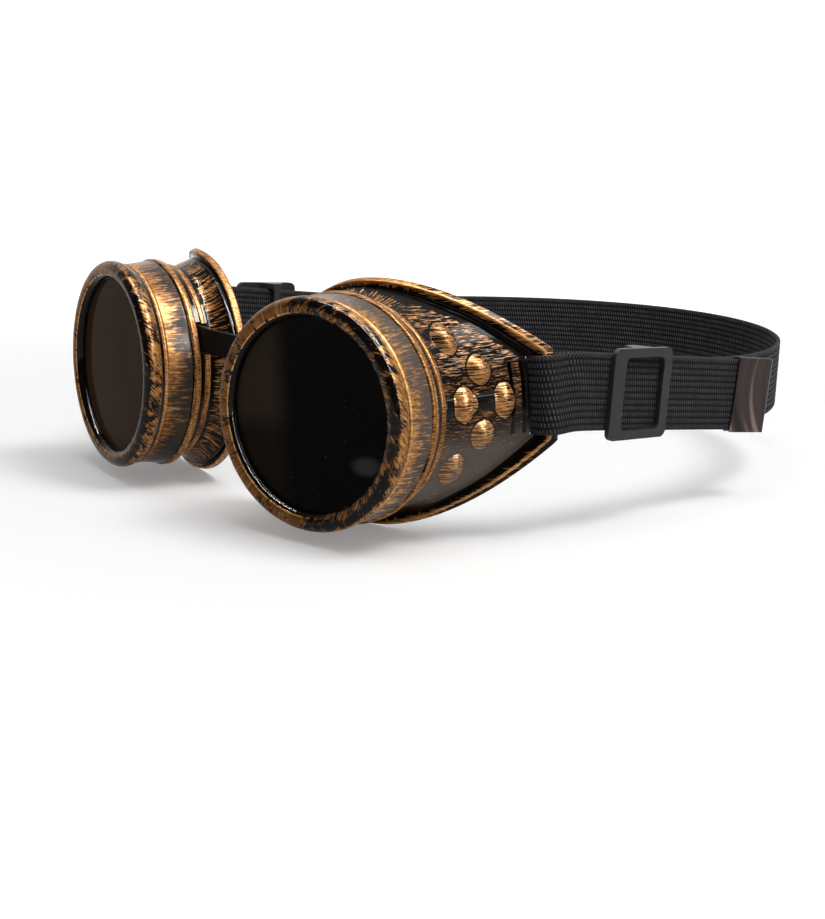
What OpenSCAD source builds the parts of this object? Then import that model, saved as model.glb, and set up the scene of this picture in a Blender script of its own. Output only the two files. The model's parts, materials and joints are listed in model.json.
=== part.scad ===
// Round screw-front goggles with side shields, a nose bridge band and an elastic head strap.
// Millimetres. +X is the wearer's left, the lenses look along -Y and +Z is up.
// The origin is the middle of the head loop, level with the middles of the lenses.

/* [Fit on the head] */
// Distance between the middles of the two lens openings
eye_spacing = 87; // [82:0.5:92]
// Turn of each eyecup outward from straight ahead, in degrees
toe_out = 11; // [7:0.5:14]
// Tilt of each eyecup about its lens axis, raising the temple end, in degrees
cup_tilt = 7.3; // [4:0.1:10]
// Distance from the lens openings back to the middle of the head loop
head_setback = 115; // [108:1:122]
// Half the width of the head loop, to the middle of the inner strap layer
loop_half_width = 76.4; // [76:0.1:79]
// Half the length of the head loop behind its middle
loop_half_length = 96; // [85:1:105]

/* [Screw bezel] */
// Radial width of the lip that holds the lens in from the front
lens_lip_w = 1; // [0.6:0.1:2]
// Radius of the round front roll's section
roll_r = 2.5; // [2:0.1:2.8]
// Radial thickness of the bezel's band over the barrel at its front lip
band_front_t = 1.9; // [1.6:0.1:2.2]
// Radial thickness of the bezel's band over the barrel at its rear edge
band_rear_t = 2.8; // [2.4:0.1:3.2]
// Depth of the band's front lip behind the opening
band_front_d = 5.3; // [4.9:0.1:6]
// Depth of the bezel's rear edge behind the opening
bezel_d = 12.9; // [12:0.1:14]
// Depth of the lens face behind the opening
lens_recess = 2.2; // [1.8:0.1:2.8]

/* [Lens stack] */
// Radius of the dark lens and of the clear lens behind it
lens_r = 25; // [24.7:0.1:25.2]
// Thickness of the dark lens
dark_lens_t = 2; // [1.5:0.1:2.2]
// Thickness of the clear lens
clear_lens_t = 1.2; // [0.8:0.1:1.4]
// Thickness of the seal ring between the clear lens and the barrel
seal_t = 1; // [0.8:0.1:1.5]
// Radial width of the seal ring
seal_w = 1.4; // [1:0.1:2]

/* [Eyecup front] */
// Reach of the threaded barrel, which the bezel screws onto, beyond the lens edge
barrel_lap = 1; // [0.8:0.05:1.2]
// Thickness of the barrel's wall
barrel_t = 2.6; // [2.2:0.1:3.2]
// Height of the front collar ring above the barrel
collar_h = 3.3; // [3:0.1:3.8]
// Width of the front collar ring along the lens axis
collar_w = 2; // [1.6:0.1:2.4]
// Height of the rear collar ring above the barrel
rear_ring_h = 1.7; // [1.4:0.1:2]
// Width of the rear collar ring along the lens axis
rear_ring_w = 1.7; // [1.2:0.1:2]
// Gap between the two collar rings
ring_gap = 2.3; // [2.2:0.1:2.8]
// Height of the neck behind the rings above the barrel
neck_h = 0.6; // [0.4:0.1:1]
// Shift of the rear ring towards the temple
ring_shift = 0.9; // [0.5:0.1:1.1]

/* [Eyecup shell] */
// Thickness of the shell
wall = 2; // [1.6:0.1:2.4]
// Radius of the rear rim on the nose side
rim_r = 31.8; // [31:0.1:33]
// Depth of the rear rim on the nose side, behind the opening
rim_d = 27.6; // [26:0.2:29]
// Reach of the temple end from the lens axis
temple_reach = 42.6; // [41:0.2:44]
// Depth of the temple end behind the opening
temple_d = 46.9; // [45:0.2:49]
// Half the height of the blunt temple end
temple_half_h = 11.6; // [11.2:0.1:12.5]
// Width of the rim flange on the nose side
flange_nose_w = 1.8; // [1.4:0.1:2.2]
// Width of the rim flange at the temple end
flange_temple_w = 4.4; // [4:0.1:4.8]
// Extra width of the rim flange at the corners of the temple end
flange_corner_w = 1.5; // [0.5:0.1:1.8]
// Thickness of the rim flange's lip
lip_t = 1.8; // [1.4:0.1:2.2]

/* [Raised domes] */
// Half the length of the domes that are pointed ovals, round the shell
dome_half_l = 4.8; // [4.2:0.1:5.2]
// Half the length of the rounder domes above and below the middle of the group of four
round_half_l = 4; // [3.7:0.1:4.4]
// Half the width of each raised dome
dome_half_w = 3.4; // [3:0.1:3.6]
// Height of each raised dome above the shell
dome_h = 2.4; // [1.6:0.1:2.8]
// Distance from the middle of the group of four to each of its domes, up and down
dome_rise = 8.1; // [7.8:0.1:9]
// Distance from the middle of the group of four to each of its domes, forward and back
dome_run = 5.9; // [5.4:0.1:6.2]
// Depth of the middle of the group of four behind the opening
dome_group_d = 30.2; // [29.5:0.1:31]
// Depth of the single domes above and below
single_dome_d = 25.4; // [24.4:0.1:26]
// Angle of the single domes round the shell, in degrees
single_dome_angle = 33.5; // [31:0.5:37]
// Half the width of the rod along the middle of the panel
rod_half_w = 2.4; // [1.8:0.1:2.8]
// Height of the rod along the middle of the panel
rod_h = 1.2; // [0.8:0.1:1.6]

/* [Strap slots] */
// Width of the strap slot that is in use
strap_slot_w = 3.2; // [3:0.1:3.4]
// Length of each spare slot
spare_slot_l = 18; // [16:0.2:19]
// Width of each spare slot
spare_slot_w = 1.1; // [1:0.1:1.6]
// Distance between neighbouring slots along the shell
slot_pitch = 3.4; // [3.2:0.1:3.6]

/* [Nose bridge] */
// Height of the nose bridge band
bridge_h = 6.6; // [5.6:0.1:7.4]
// Thickness of the nose bridge band
bridge_t = 1.8; // [1.2:0.1:2]
// Height of the band's middle above the lens middles
bridge_z = 10.5; // [9.5:0.1:11.5]
// Height of the notch in the rear ring that the band leaves by
notch_h = 8.8; // [8.2:0.1:9.6]
// Length of the stop at each end of the band, along the lens axis
bridge_stop_l = 5.4; // [4.6:0.1:6]

/* [Head strap] */
// Width of the elastic strap
strap_w = 20; // [18:0.2:20.4]
// Thickness of the elastic strap
strap_t = 1.2; // [1:0.05:1.3]
// Gap between the two layers of the doubled strap
layer_gap = 0.3; // [0.25:0.05:0.5]
// Fall of the strap towards the back of the head, in degrees
strap_fall = 6; // [4:0.5:7]
// Height of the strap's line above the middle of its slot
strap_rise = 2; // [0.5:0.1:2.5]
// Length of the strap's free tail behind the widest part of the head
tail_l = 25; // [22:0.5:27]
// Lean of the free tail away from the head, in degrees
tail_lean = 3; // [2:0.5:5]

/* [Slider and tip] */
// Distance from the lens openings to the middle of the slider
slider_y = 83; // [80:0.5:90]
// Length of the slider along the strap
slider_l = 23.6; // [22:0.2:25]
// Width of the slider's front outer bar
slider_front_w = 4.7; // [3.6:0.1:5]
// Width of the slider's rear outer bar
slider_rear_w = 3.2; // [2.6:0.1:4]
// Width of the slider's rails beyond the edges of the strap
slider_rail_w = 1.7; // [1.4:0.1:2.2]
// Thickness of the slider's outer frame
slider_t = 1.4; // [1.2:0.1:2.2]
// Turn of the slider against the strap, in degrees
slider_lean = 3; // [0:0.5:3]
// Thickness of the slider's middle bar, behind the strap
slider_mid_t = 1.5; // [1.2:0.1:2]
// Length of the metal strap tip
tip_l = 14.5; // [11:0.5:15]
// Height of the metal strap tip
tip_h = 21.2; // [20.8:0.1:22]
// Thickness of the tip's sheet metal
tip_sheet = 0.5; // [0.4:0.05:0.7]

/* [Hidden] */
$fn = 96;
eps = 0.01;

screw_gap = 0.08;
lens_gap = 0.3;
seat_gap = 0.3;
strap_gap = 0.3;
slot_end_gap = 0.3;

// Radii of the turned pieces, counted out from the lens and the barrel
opening_r = lens_r - lens_lip_w;
barrel_r = lens_r + barrel_lap;
eye_r = barrel_r - barrel_t;
band_front_r = barrel_r + band_front_t;
band_rear_r = barrel_r + band_rear_t;
collar_r = barrel_r + collar_h;
rear_ring_r = barrel_r + rear_ring_h;
neck_r = barrel_r + neck_h;

// Depths of the stacked pieces behind the opening
clear_lens_d = lens_recess + dark_lens_t;
seal_d = clear_lens_d + clear_lens_t;
barrel_d = seal_d + seal_t;
collar_d = bezel_d + seat_gap;
rear_ring_d = collar_d + collar_w + ring_gap;
neck_d = rear_ring_d + rear_ring_w;
shell_d = rear_ring_d + rear_ring_w / 2;
foot_d = neck_d + 0.35;

// Shell outline as seen along the lens axis: round on the nose side, drawn out to a blunt temple end
shell_steps = 80;
outer_stations = 7;
function bow(phi) = (rim_r - temple_half_h) * pow(cos(phi), 2) / pow(temple_reach, 2);
function taper_r(phi) = (-abs(sin(phi)) + sqrt(pow(sin(phi), 2) + 4 * bow(phi) * rim_r)) / (2 * bow(phi));
function blunt_r(phi) = min(taper_r(phi), temple_reach / cos(phi));
function outline_r(phi) = cos(phi) < 0.001 ? rim_r : blunt_r(phi);
function reach_share(phi) = max(outline_r(phi) * cos(phi), 0) / temple_reach;
function outline_d(phi) = rim_d + (temple_d - rim_d) * pow(reach_share(phi), 1.6);

// Surface of the shell from the neck (t = 0) to the inner border of the flange (t = 1)
function temple_share(phi) = (1 + cos(phi)) / 2;
corner_phi = atan2(temple_half_h, temple_reach);
function corner_rise(a) = pow(clamp01(1.35 * a / corner_phi - 0.35), 2);
function corner_fall(a) = pow(clamp01(1 - (a - corner_phi) / 21), 1.3);
function corner_share(phi) = let (a = acos(cos(phi))) a < corner_phi ? corner_rise(a) : corner_fall(a);
function flange_w(phi) = flange_nose_w + (flange_temple_w - flange_nose_w) * pow(temple_share(phi), 2)
    + flange_corner_w * corner_share(phi);
function border_r(phi) = outline_r(phi) - flange_w(phi);
nose_step_h = 1.2;
temple_step_h = 0.5;
function step_h(phi) = nose_step_h + (temple_step_h - nose_step_h) * pow(temple_share(phi), 2);
function border_d(phi) = outline_d(phi) - lip_t - step_h(phi);
function foot_r(phi) = neck_r + ring_shift * cos(phi);
function flare(phi) = 2.3 - 1.3 * temple_share(phi);
function shell_r(t, phi) = foot_r(phi) + (border_r(phi) - foot_r(phi)) * pow(t, flare(phi));
function shell_depth(t, phi) = foot_d + (border_d(phi) - foot_d) * t;
function t_at(d, phi) = (d - foot_d) / (border_d(phi) - foot_d);

// One closed section through the wall: out along the shell, down a step to the flange's valley, up to
// its crest, round the bevelled lip and back inside
crest_h = 0.2;
valley_h = 0.4;
function crest_w(phi) = 0.3 * flange_w(phi);
function wall_section(phi) = concat(
    [[foot_r(phi), shell_d]],
    [for (i = [0 : outer_stations - 1])
        let (t = i / (outer_stations - 1)) [shell_r(t, phi), shell_depth(t, phi)]],
    [[border_r(phi) + 0.3, outline_d(phi) - lip_t + valley_h],
     [outline_r(phi) - crest_w(phi), outline_d(phi) - lip_t - crest_h],
     [outline_r(phi), outline_d(phi) - 0.7],
     [outline_r(phi), outline_d(phi) - 0.3],
     [outline_r(phi) - 0.3, outline_d(phi)],
     [border_r(phi) - wall + 0.5, outline_d(phi)]],
    [for (i = [outer_stations - 1 : -2 : 0]) let (t = i / (outer_stations - 1))
        [shell_r(t, phi) - wall, shell_depth(t, phi)]],
    [[foot_r(phi) - wall, shell_d]]);

// A tube that closes on itself: sections of equal length, joined side by side
module ring_loft(sections) {
    m = len(sections[0]);
    n = len(sections);
    points = [for (s = sections) for (p = s) p];
    faces = [for (i = [0 : n - 1]) for (j = [0 : m - 1])
        let (a = i * m + j, b = i * m + (j + 1) % m)
        let (c = ((i + 1) % n) * m + (j + 1) % m, d = ((i + 1) % n) * m + j)
        for (f = [[a, c, b], [a, d, c]]) f];
    polyhedron(points = points, faces = faces, convexity = 8);
}

// Places children, drawn with +Z running back along the lens axis and +X towards the temple
module in_left_cup(tilt = cup_tilt) {
    translate([eye_spacing / 2, -head_setback, 0])
        rotate([0, 0, toe_out])
            rotate([-90, 0, 0])
                rotate([0, 0, -tilt])
                    children();
}

module mirrored(side) {
    if (side == "right") mirror([1, 0, 0]) children();
    else children();
}

module ring(r_in, r_out, d, w) {
    translate([0, 0, d])
        difference() {
            cylinder(r = r_out, h = w);
            translate([0, 0, -eps]) cylinder(r = r_in, h = w + 2 * eps);
        }
}

module shell() {
    sections = [for (i = [0 : shell_steps - 1]) let (phi = i * 360 / shell_steps)
        [for (p = wall_section(phi)) [p[0] * cos(phi), -p[0] * sin(phi), p[1]]]];
    ring_loft(sections);
}

// Places children on the shell's surface, +Z standing out of it and +X running back towards the temple
panel_slope = atan2(shell_r(1, 0) - shell_r(0, 0), border_d(0) - foot_d);
module on_shell(d, phi) {
    rotate([0, 0, -phi])
        translate([shell_r(t_at(d, phi), phi), 0, d])
            rotate([0, panel_slope, 0])
                rotate([0, 90, 0])
                    rotate([0, 0, 180])
                        children();
}

// A boss whose footprint is where two circles overlap, with a foot that sinks into the shell
module dome(d, phi, half_l) {
    sides = 24;
    levels = [1, 0.92, 0.8, 0.6, 0.35];
    bow_r = (pow(half_l, 2) + pow(dome_half_w, 2)) / (2 * dome_half_w);
    off = bow_r - dome_half_w;
    function reach(a) = sqrt(pow(bow_r, 2) - pow(off * sin(a), 2)) - off * abs(cos(a));
    function row(s, z) = [for (i = [0 : sides - 1])
        let (a = i * 360 / sides) [s * reach(a) * cos(a), s * reach(a) * sin(a), z]];
    points = concat([[0, 0, -wall / 2]], row(1, -wall / 2),
        [for (s = levels) for (p = row(s, dome_h * (1 - pow(s, 2.2)))) p], [[0, 0, dome_h]]);
    top = len(points) - 1;
    foot = [for (i = [0 : sides - 1]) [0, 1 + i, 1 + (i + 1) % sides]];
    flanks = [for (k = [0 : len(levels) - 1]) for (i = [0 : sides - 1])
        let (a = 1 + k * sides + i, b = 1 + k * sides + (i + 1) % sides, c = b + sides, e = a + sides)
        for (f = [[a, c, b], [a, e, c]]) f];
    crown = [for (i = [0 : sides - 1]) [top, top - sides + (i + 1) % sides, top - sides + i]];
    on_shell(d, phi)
        polyhedron(points = points, faces = concat(foot, flanks, crown), convexity = 4);
}

group_r = shell_r(t_at(dome_group_d, 0), 0);
group_angle = asin(dome_rise / group_r);
module domes() {
    for (s = [-1, 1]) {
        dome(single_dome_d, s * single_dome_angle, dome_half_l);
        dome(dome_group_d, s * group_angle, round_half_l);
        dome(dome_group_d + s * dome_run * cos(panel_slope), 0, dome_half_l);
    }
}

// A half-round rod runs back from the rear ring to the last of the domes
module rod() {
    rod_r = (pow(rod_half_w, 2) + pow(rod_h, 2)) / (2 * rod_h);
    half_angle = asin(rod_half_w / rod_r);
    front_l = (dome_group_d - neck_d + 0.6) / cos(panel_slope);
    arch = [for (i = [-4 : 4]) let (a = half_angle * i / 4) [rod_r * sin(a), rod_r * (cos(a) - 1) + rod_h]];
    on_shell(dome_group_d, 0)
        translate([-front_l, 0, 0])
            rotate([90, 0, 90])
                linear_extrude(front_l + dome_run)
                    polygon(concat([[rod_half_w, -wall / 2], [-rod_half_w, -wall / 2]], arch));
}

strap_slot_d = border_d(0) - 0.3;
strap_slot_l = strap_w + 2 * slot_end_gap;
module slot(d, length, width) {
    on_shell(d, 0)
        cube([width, length, 4 * wall], center = true);
}
module slots() {
    slot(strap_slot_d, strap_slot_l, strap_slot_w);
    for (k = [1, 2])
        slot(strap_slot_d - k * slot_pitch * cos(panel_slope), spare_slot_l, spare_slot_w);
}

// On the nose side the rear ring has a notch, and a narrower slot goes on through the wall
notch_d = collar_d + collar_w + 0.1;
bridge_d = notch_d + 0.35 + bridge_t / 2;
bridge_slot_w = bridge_t + 2 * seat_gap;
bridge_slot_h = bridge_h + 4 * seat_gap;
module bridge_way() {
    notch_floor = neck_r - ring_shift - 0.4;
    notch_depth = 10;
    rotate([0, 0, cup_tilt]) {
        rotate([0, 0, asin(bridge_z / rear_ring_r)])
            translate([-notch_floor - notch_depth, -notch_h / 2, notch_d])
                cube([notch_depth, notch_h, neck_d - notch_d + 0.6]);
        translate([-collar_r, -bridge_z - bridge_slot_h / 2, bridge_d - bridge_slot_w / 2])
            cube([collar_r / 2, bridge_slot_h, bridge_slot_w]);
    }
}

// The threaded barrel, the collar behind the bezel and the neck's inner wall, in one turned piece
chamfer = 0.5;
neck_core_r = neck_r - 0.8;
module barrel() {
    rotate_extrude()
        polygon([[eye_r, barrel_d], [barrel_r, barrel_d], [barrel_r, collar_d],
                 [collar_r - chamfer, collar_d], [collar_r, collar_d + chamfer],
                 [collar_r, collar_d + collar_w - chamfer],
                 [collar_r - chamfer, collar_d + collar_w], [neck_core_r, collar_d + collar_w],
                 [neck_core_r, neck_d], [eye_r, neck_d]]);
}

// The rear ring stands a little towards the temple, on a neck of its own
module rear_ring() {
    core_r = neck_r - ring_shift - 0.7;
    skin_r = neck_r + 0.2;
    translate([ring_shift, 0, 0])
        rotate_extrude()
            polygon([[core_r, collar_d + collar_w / 2], [skin_r, collar_d + collar_w / 2],
                     [skin_r, rear_ring_d], [rear_ring_r - chamfer, rear_ring_d],
                     [rear_ring_r, rear_ring_d + chamfer], [rear_ring_r, neck_d - chamfer],
                     [rear_ring_r - chamfer, neck_d], [core_r, neck_d]]);
}

module cup() {
    difference() {
        union() {
            shell();
            barrel();
            rear_ring();
            domes();
            rod();
        }
        slots();
        bridge_way();
    }
}

// Round front roll, a bright lip, a slightly conical band and the bore that takes the lens and barrel
module bezel() {
    roll_d = 2;
    roll_mid = opening_r + roll_r;
    roll_end = -42;
    bore_r = barrel_r + screw_gap;
    roll = [for (a = [180 : -9 : 0]) [roll_mid + roll_r * cos(a), roll_d - roll_r * sin(a)]];
    roll_back = [for (a = [-10, -20, -31, roll_end])
        [roll_mid + roll_r * cos(a), roll_d - roll_r * sin(a)]];
    band = [[band_front_r - 0.6, band_front_d - 0.3], [band_front_r + 0.1, band_front_d],
            [band_front_r + 0.25, band_front_d + 0.25], [band_front_r, band_front_d + 0.6],
            [band_rear_r, bezel_d - 0.3], [band_rear_r - 0.3, bezel_d]];
    inside = [[bore_r, bezel_d], [bore_r, barrel_d - seal_t / 2],
              [lens_r + lens_gap, barrel_d - seal_t / 2], [lens_r + lens_gap, lens_recess],
              [opening_r, lens_recess]];
    rotate_extrude()
        polygon(concat(roll, roll_back, band, inside));
}

module dark_lens() { translate([0, 0, lens_recess]) cylinder(r = lens_r, h = dark_lens_t); }
module clear_lens() { translate([0, 0, clear_lens_d]) cylinder(r = lens_r, h = clear_lens_t); }
module seal_ring() { ring(lens_r - seal_w, lens_r, seal_d, seal_t); }

// The band's plan outline: a stop inside each cup, straight through the slot and curved between
function plan(u, d) = [eye_spacing / 2 + u * cos(toe_out) - d * sin(toe_out),
    -head_setback + u * sin(toe_out) + d * cos(toe_out)];
module nose_bridge() {
    stop_t = 1.6;
    stop_u = -sqrt(pow(eye_r, 2) - pow(bridge_z + bridge_h / 2, 2)) + seat_gap;
    bend_x = 0.12 * eye_spacing;
    bend_u = (bend_x - eye_spacing / 2 + bridge_d * sin(toe_out)) / cos(toe_out);
    bend_r = bend_x / sin(toe_out);
    bend_y = plan(bend_u, bridge_d)[1] + bend_r * cos(toe_out);
    front_d = bridge_d - bridge_t / 2;
    back_d = bridge_d + bridge_t / 2;
    turns = [for (i = [0 : 6]) toe_out * (1 - i / 3)];
    function arc(r) = [for (a = turns) [r * sin(a), bend_y - r * cos(a)]];
    left_front = [plan(stop_u + stop_t, bridge_d - bridge_stop_l / 2),
                  plan(stop_u, bridge_d - bridge_stop_l / 2), plan(stop_u, front_d)];
    left_back = [plan(stop_u, back_d), plan(stop_u, bridge_d + bridge_stop_l / 2),
                 plan(stop_u + stop_t, bridge_d + bridge_stop_l / 2)];
    function flip(p) = [for (i = [len(p) - 1 : -1 : 0]) [-p[i][0], p[i][1]]];
    function back(p) = [for (i = [len(p) - 1 : -1 : 0]) p[i]];
    color("#0f0e0e")
        translate([0, 0, bridge_z - bridge_h / 2])
            linear_extrude(bridge_h)
                polygon(concat(left_front, arc(bend_r + bridge_t / 2), flip(left_front),
                    flip(left_back), back(arc(bend_r - bridge_t / 2)), left_back));
}

// A place in a cup, given as reach towards the temple and depth behind the opening
function cup_point(u, d) =
    let (ct = cos(toe_out), st = sin(toe_out), cr = cos(cup_tilt), sr = sin(cup_tilt))
    [eye_spacing / 2 + u * ct * cr - d * st, -head_setback + u * st * cr + d * ct, u * sr];
function cup_up() = let (sr = sin(cup_tilt)) [-cos(toe_out) * sr, -sin(toe_out) * sr, cos(cup_tilt)];

// The strap's two layers run side by side behind the temple end, falling towards the back
half_t = strap_t / 2;
layer_step = strap_t + layer_gap;
slot_u = shell_r(t_at(strap_slot_d, 0), 0);
slot_place = cup_point(slot_u, strap_slot_d);
inner_x = loop_half_width;
outer_x = inner_x + layer_step;
settle_l = 12;
straight_l = 6;
join_y = slot_place[1] + settle_l;
function line_z(y) = slot_place[2] + strap_rise - (y - slot_place[1]) * tan(strap_fall);
function on_line(x, y) = [x, y, line_z(y)];
function slot_line(s) = cup_point(slot_u + s * cos(panel_slope), strap_slot_d - s * sin(panel_slope));

// Corners of the strap's route from its tail end, round the bar behind the slot and back
bend = half_t + strap_gap;
tail_dir = [sin(tail_lean), cos(tail_lean) * cos(strap_fall), -cos(tail_lean) * sin(strap_fall)];
tail_end = on_line(outer_x, 0) + tail_l * tail_dir;
corners = [
    tail_end,
    on_line(outer_x, 0),
    on_line(outer_x, join_y + straight_l),
    on_line(outer_x, join_y - 4),
    cup_point(temple_reach + bend + 0.3, temple_d + 2),
    cup_point(temple_reach + bend + 0.3, temple_d - lip_t + 0.1),
    cup_point(temple_reach, temple_d - lip_t - bend - 0.5),
    slot_line(2.4),
    slot_line(0),
    slot_line(-3.4),
    cup_point(border_r(0) - wall - bend - 0.2, temple_d + 1.4),
    on_line(inner_x, join_y - 2),
    on_line(inner_x, join_y + straight_l),
    on_line(inner_x, 0)];

// Cutting every corner twice turns the route into a smooth curve that keeps its straight runs
function cut(p) = concat([p[0]],
    [for (i = [0 : len(p) - 2]) for (t = [0.25, 0.75]) p[i] * (1 - t) + p[i + 1] * t],
    [p[len(p) - 1]]);

// Behind the widest part of the head the strap follows half an ellipse
loop_steps = 20;
back_drop = 2;
function loop_point(a) = [loop_half_width * cos(a), loop_half_length * sin(a),
    line_z(0) - back_drop * (1 - pow(1 - sin(a), 4))];
half_route = concat(cut(cut(corners)), [for (i = [1 : loop_steps - 1]) loop_point(90 * i / loop_steps)]);
route = concat(half_route, [loop_point(90)],
    [for (i = [len(half_route) - 1 : -1 : 0]) let (p = half_route[i]) [-p[0], p[1], p[2]]]);

function unit(v) = v / norm(v);
function clamp01(x) = min(max(x, 0), 1);
function route_dir(i) = unit(route[min(i + 1, len(route) - 1)] - route[max(i - 1, 0)]);
function slot_share(p) = clamp01(1.6 - norm([abs(p[0]), p[1]] - [slot_place[0], slot_place[1]]) / 12);
function lean_up(p) = let (c = cup_up(), w = slot_share(p))
    [sign(p[0]) * c[0] * w, c[1] * w, c[2] * w + 1 - w];
function strap_up(i) = let (d = route_dir(i), u = lean_up(route[i])) unit(u - (u * d) * d);
function strap_corners(i) = let (up = strap_up(i), out = cross(up, route_dir(i)), p = route[i])
    [for (c = [[1, 1], [1, -1], [-1, -1], [-1, 1]]) p + up * c[0] * strap_w / 2 + out * c[1] * half_t];

module head_strap() {
    n = len(route);
    rings = [for (i = [0 : n - 1]) strap_corners(i)];
    sides = [for (i = [0 : n - 2]) for (j = [0 : 3])
        let (a = 4 * i + j, b = 4 * i + (j + 1) % 4, c = a + 4, d = b + 4)
        for (f = [[a, c, b], [b, c, d]]) f];
    last = 4 * (n - 1);
    ends = [[0, 1, 2], [0, 2, 3], [last, last + 2, last + 1], [last, last + 3, last + 2]];
    color("#1b1b1d")
        polyhedron(points = [for (r = rings) for (p = r) p], faces = concat(sides, ends), convexity = 10);
}

// Places children on the strap's straight run: +X out from the head, +Y back along the strap
module on_strap(x, y) {
    translate(on_line(x, y))
        rotate([-strap_fall, 0, 0])
            children();
}

module rounded_plate(l, h, r) {
    square([l - 2 * r, h], center = true);
    square([l, h - 2 * r], center = true);
    for (x = [-1, 1])
        for (y = [-1, 1])
            translate([x * (l / 2 - r), y * (h / 2 - r)]) circle(r = r, $fn = 24);
}

// Two outer bars lie over the doubled strap and the middle bar lies behind it
module strap_slider() {
    slide_gap = 0.2;
    edge_lap = 0.4;
    rail_z = strap_w / 2 + strap_gap;
    window_h = strap_w - 2 * edge_lap;
    window_l = slider_l - slider_front_w - slider_rear_w;
    window_y = (slider_front_w - slider_rear_w) / 2;
    bar_x = layer_step + half_t + slide_gap;
    mid_x = -half_t - slide_gap - slider_mid_t;
    mid_w = 2.6;
    dip = [mid_w + 1.5, mid_w / 2 + 0.6];
    on_strap(inner_x, slider_y - head_setback)
        rotate([slider_lean, 0, 0]) {
            translate([bar_x, 0, 0])
                rotate([90, 0, 90])
                    linear_extrude(slider_t)
                        difference() {
                            rounded_plate(slider_l, 2 * (rail_z + slider_rail_w), 2.2);
                            translate([window_y, 0]) rounded_plate(window_l, window_h, 1.6);
                        }
            for (z = [rail_z, -rail_z - slider_rail_w])
                translate([0, window_y, z])
                    linear_extrude(slider_rail_w)
                        polygon([[bar_x + slider_t / 2, -dip[0]], [bar_x + slider_t / 2, dip[0]],
                                 [bar_x, dip[0]], [mid_x, dip[1]], [mid_x, -dip[1]], [bar_x, -dip[0]]]);
            translate([mid_x, window_y - mid_w / 2, -rail_z - eps])
                cube([slider_mid_t, mid_w, 2 * (rail_z + eps)]);
        }
}

// Sheet metal folded round the end of the tail, closed at the back
module strap_tip() {
    crimp_gap = 0.12;
    inside = half_t + crimp_gap;
    outside = inside + tip_sheet;
    on_strap(outer_x, 0)
        rotate([0, 0, -tail_lean])
            translate([0, tail_l + crimp_gap - tip_l, -tip_h / 2])
                linear_extrude(tip_h)
                    difference() {
                        union() {
                            translate([-outside, 0]) square([2 * outside, tip_l]);
                            translate([0, tip_l]) circle(r = outside, $fn = 32);
                        }
                        translate([-inside, -eps]) square([2 * inside, tip_l + eps]);
                    }
}

module pair(side) {
    mirrored(side) in_left_cup() children();
}

module left_cup() { color("#6b4426") pair("left") cup(); }
module right_cup() { color("#6b4426") pair("right") cup(); }
module left_bezel() { color("#7a4d2a") pair("left") bezel(); }
module right_bezel() { color("#7a4d2a") pair("right") bezel(); }
module left_dark_lens() { color("#14110f") pair("left") dark_lens(); }
module right_dark_lens() { color("#14110f") pair("right") dark_lens(); }
module left_clear_lens() { color("#c9d2d4") pair("left") clear_lens(); }
module right_clear_lens() { color("#c9d2d4") pair("right") clear_lens(); }
module left_seal_ring() { color("#222222") pair("left") seal_ring(); }
module right_seal_ring() { color("#222222") pair("right") seal_ring(); }
module left_strap_slider() { color("#17171a") mirrored("left") strap_slider(); }
module right_strap_slider() { color("#17171a") mirrored("right") strap_slider(); }
module left_strap_tip() { color("#4a3a36") mirrored("left") strap_tip(); }
module right_strap_tip() { color("#4a3a36") mirrored("right") strap_tip(); }

left_cup();
right_cup();
left_bezel();
right_bezel();
left_dark_lens();
right_dark_lens();
left_clear_lens();
right_clear_lens();
left_seal_ring();
right_seal_ring();
nose_bridge();
head_strap();
left_strap_slider();
right_strap_slider();
left_strap_tip();
right_strap_tip();
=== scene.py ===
import json
import math

import bmesh
import bpy
from mathutils import Matrix, Vector

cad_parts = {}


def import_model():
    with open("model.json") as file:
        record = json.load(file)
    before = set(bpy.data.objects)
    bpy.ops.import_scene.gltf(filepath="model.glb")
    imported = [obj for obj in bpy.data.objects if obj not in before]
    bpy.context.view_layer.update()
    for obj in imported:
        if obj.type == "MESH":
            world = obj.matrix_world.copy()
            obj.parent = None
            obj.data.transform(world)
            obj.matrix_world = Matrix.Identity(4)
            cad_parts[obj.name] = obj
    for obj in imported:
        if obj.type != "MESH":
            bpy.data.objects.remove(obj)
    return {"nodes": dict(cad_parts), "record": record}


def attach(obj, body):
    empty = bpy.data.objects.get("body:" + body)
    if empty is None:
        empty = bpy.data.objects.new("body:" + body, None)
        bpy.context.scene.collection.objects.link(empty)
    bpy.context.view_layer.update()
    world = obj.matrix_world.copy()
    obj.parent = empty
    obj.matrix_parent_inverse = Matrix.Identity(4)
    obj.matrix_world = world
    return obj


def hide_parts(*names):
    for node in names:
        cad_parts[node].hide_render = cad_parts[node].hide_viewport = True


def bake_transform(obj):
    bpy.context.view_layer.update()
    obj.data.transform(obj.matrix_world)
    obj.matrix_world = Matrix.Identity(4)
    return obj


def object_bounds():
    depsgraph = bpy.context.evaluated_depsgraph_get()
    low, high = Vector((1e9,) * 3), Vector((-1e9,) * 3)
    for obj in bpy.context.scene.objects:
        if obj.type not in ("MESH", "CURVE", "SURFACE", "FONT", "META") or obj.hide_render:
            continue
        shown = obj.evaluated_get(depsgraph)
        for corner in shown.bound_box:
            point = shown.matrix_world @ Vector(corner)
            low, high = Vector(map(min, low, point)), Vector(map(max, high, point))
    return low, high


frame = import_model()
cad_bounds = [list(corner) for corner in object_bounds()]
NODES = frame["nodes"]

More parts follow.
